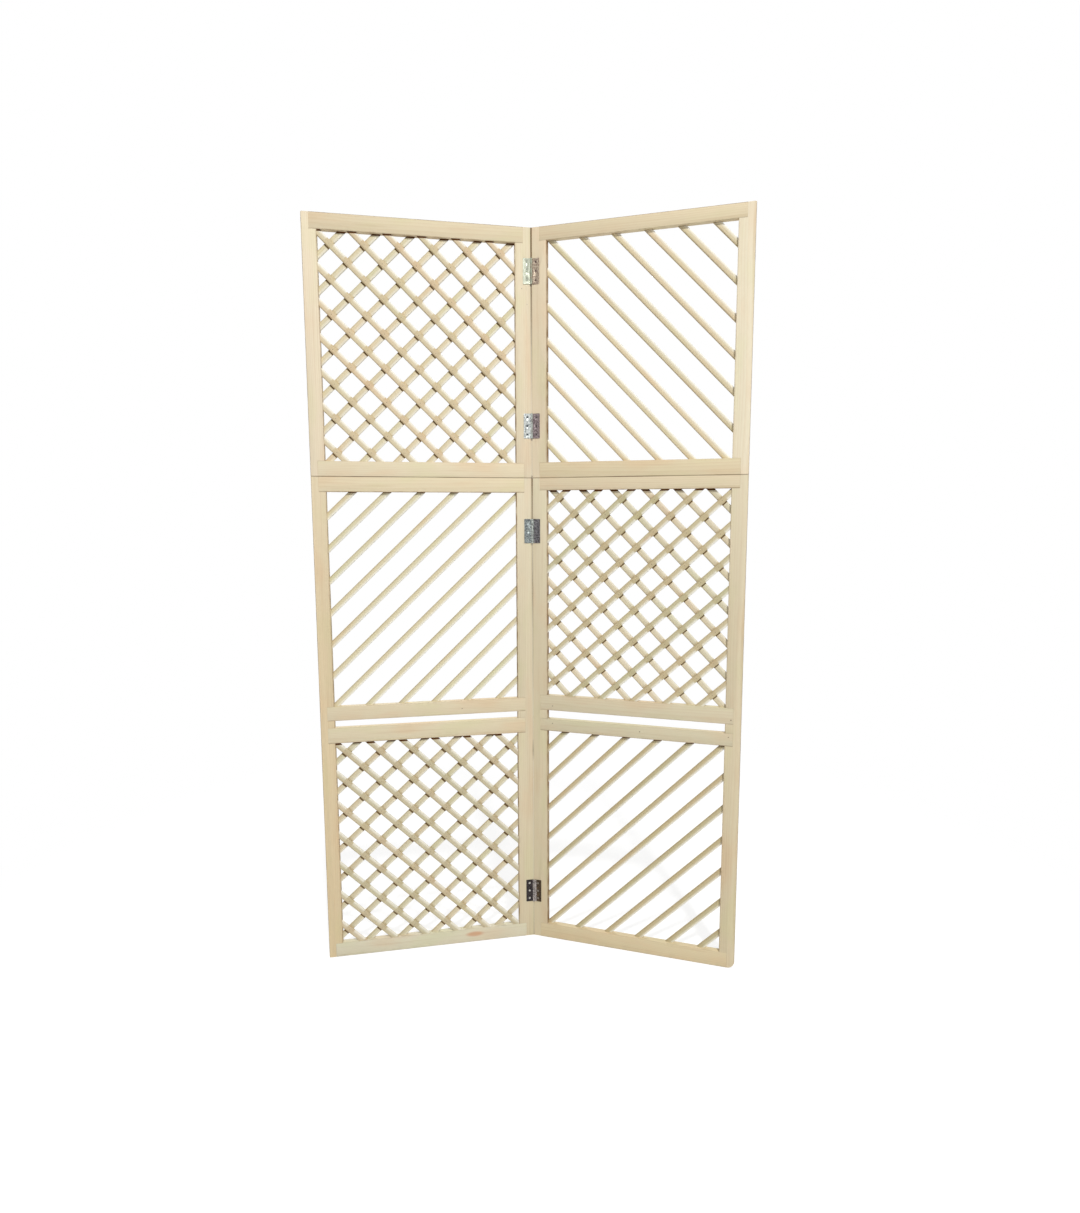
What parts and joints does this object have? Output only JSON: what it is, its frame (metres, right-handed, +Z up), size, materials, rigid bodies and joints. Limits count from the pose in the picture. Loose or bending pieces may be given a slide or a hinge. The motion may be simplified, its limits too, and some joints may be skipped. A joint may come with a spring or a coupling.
{
  "type": "trellis screen",
  "caption": "Tall two-leaf folding screen of pale timber: framed windows filled with diagonal strips and lattice, an open slot between rails, and steel butt hinges.",
  "frame": {"origin": "on the floor, midway between the outer ends of the two leaves and midway in depth, with the screen standing at the angle at which it is shown", "axes": "+Z up, +X towards the right leaf as seen from the hinge side, -Y towards the viewer on the hinge side"},
  "size_m": [1.2976, 0.1618, 2.286],
  "materials": {
    "upper_frame_wood": "raw pale softwood, sanded",
    "lower_frame_wood": "raw softwood a shade darker than the upper frame",
    "strip_wood": "raw sawn laths",
    "dowel_wood": "plain hardwood dowel",
    "hinge_steel": "mottled zinc plating",
    "screw_steel": "zinc plated",
    "nail_steel": "bright steel gone dull"
  },
  "bodies": {
    "left_leaf": {"bottom_hinge_left_plate": "hinge_steel", "bottom_hinge_pin": "hinge_steel", "left_bottom_rail": "lower_frame_wood", "left_corner_nails": "nail_steel", "left_hinge_screws": "screw_steel", "left_joining_dowels": "dowel_wood", "left_lower_brads": "nail_steel", "left_lower_front_strips": "strip_wood", "left_lower_hinge_stile": "lower_frame_wood", "left_lower_outer_stile": "lower_frame_wood", "left_lower_rear_strips": "strip_wood", "left_lower_seam_rail": "lower_frame_wood", "left_middle_strips": "strip_wood", "left_slot_bottom_rail": "lower_frame_wood", "left_slot_top_rail": "lower_frame_wood", "left_top_rail": "upper_frame_wood", "left_upper_brads": "nail_steel", "left_upper_front_strips": "strip_wood", "left_upper_hinge_stile": "upper_frame_wood", "left_upper_outer_stile": "upper_frame_wood", "left_upper_rear_strips": "strip_wood", "left_upper_seam_rail": "upper_frame_wood", "lower_middle_hinge_left_plate": "hinge_steel", "lower_middle_hinge_pin": "hinge_steel", "top_hinge_left_plate": "hinge_steel", "top_hinge_pin": "hinge_steel", "upper_middle_hinge_left_plate": "hinge_steel", "upper_middle_hinge_pin": "hinge_steel"},
    "right_leaf": {"bottom_hinge_right_plate": "hinge_steel", "lower_middle_hinge_right_plate": "hinge_steel", "right_bottom_rail": "lower_frame_wood", "right_corner_nails": "nail_steel", "right_hinge_screws": "screw_steel", "right_joining_dowels": "dowel_wood", "right_lower_hinge_stile": "lower_frame_wood", "right_lower_outer_stile": "lower_frame_wood", "right_lower_seam_rail": "lower_frame_wood", "right_lower_strips": "strip_wood", "right_middle_brads": "nail_steel", "right_middle_front_strips": "strip_wood", "right_middle_rear_strips": "strip_wood", "right_slot_bottom_rail": "lower_frame_wood", "right_slot_top_rail": "lower_frame_wood", "right_top_rail": "upper_frame_wood", "right_upper_hinge_stile": "upper_frame_wood", "right_upper_outer_stile": "upper_frame_wood", "right_upper_seam_rail": "upper_frame_wood", "right_upper_strips": "strip_wood", "top_hinge_right_plate": "hinge_steel", "upper_middle_hinge_right_plate": "hinge_steel"}
  },
  "joints": [
    {"name": "fold", "type": "hinge", "parent": "left_leaf", "child": "right_leaf", "pos_m": [0.00596, 0.05994, 0], "axis": [0, 0, 1], "range_deg": [-155, 4]}
  ]
}
